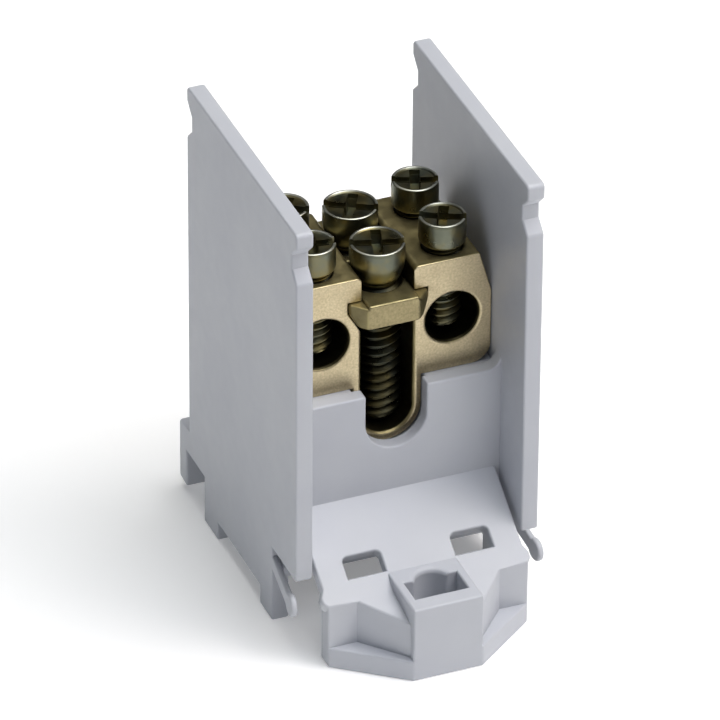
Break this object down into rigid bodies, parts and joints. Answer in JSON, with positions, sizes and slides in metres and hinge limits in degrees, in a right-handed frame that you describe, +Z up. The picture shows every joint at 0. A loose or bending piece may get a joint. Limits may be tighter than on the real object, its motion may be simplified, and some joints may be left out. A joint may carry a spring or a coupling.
{
  "type": "main line tap connector",
  "caption": "Rail-mounting single-pole main line tap terminal: grey moulded base with tall side walls, brass terminal block, clamping bridges and cross-slot screws.",
  "frame": {"origin": "under the middle of the outline, in the plane that the feet stand on", "axes": "+X across the terminal, +Y from the clip foot at the front to the fixed claw at the rear, +Z up"},
  "size_m": [0.0334, 0.05, 0.061],
  "materials": {
    "housing_plastic": "satin moulded plastic",
    "brass": "matte extruded brass",
    "plated_steel": "zinc plated"
  },
  "bodies": {
    "base": {"housing": "housing_plastic", "terminal_block": "brass"},
    "front_bridge": {"front_bridge": "brass"},
    "rear_bridge": {"rear_bridge": "brass"},
    "main_screw_front": {"main_screw_front": "plated_steel"},
    "main_screw_rear": {"main_screw_rear": "plated_steel"},
    "tap_screw_left_front": {"tap_screw_left_front": "plated_steel"},
    "tap_screw_left_rear": {"tap_screw_left_rear": "plated_steel"},
    "tap_screw_right_front": {"tap_screw_right_front": "plated_steel"},
    "tap_screw_right_rear": {"tap_screw_right_rear": "plated_steel"}
  },
  "joints": [
    {"name": "front_bridge_slide", "type": "slide", "parent": "base", "child": "front_bridge", "axis": [0, -1, 0], "range_m": [0, 0.0075]},
    {"name": "rear_bridge_slide", "type": "slide", "parent": "base", "child": "rear_bridge", "axis": [0, 1, 0], "range_m": [0, 0.0075]},
    {"name": "main_screw_front_travel", "type": "slide", "parent": "front_bridge", "child": "main_screw_front", "axis": [0, 0, 1], "range_m": [-0.0003, 0.012]},
    {"name": "main_screw_rear_travel", "type": "slide", "parent": "rear_bridge", "child": "main_screw_rear", "axis": [0, 0, 1], "range_m": [-0.0003, 0.012]},
    {"name": "tap_screw_left_front_travel", "type": "slide", "parent": "base", "child": "tap_screw_left_front", "axis": [0, 0, 1], "range_m": [-0.0003, 0.0063]},
    {"name": "tap_screw_left_rear_travel", "type": "slide", "parent": "base", "child": "tap_screw_left_rear", "axis": [0, 0, 1], "range_m": [-0.0003, 0.0063]},
    {"name": "tap_screw_right_front_travel", "type": "slide", "parent": "base", "child": "tap_screw_right_front", "axis": [0, 0, 1], "range_m": [-0.0003, 0.0063]},
    {"name": "tap_screw_right_rear_travel", "type": "slide", "parent": "base", "child": "tap_screw_right_rear", "axis": [0, 0, 1], "range_m": [-0.0003, 0.0063]}
  ]
}
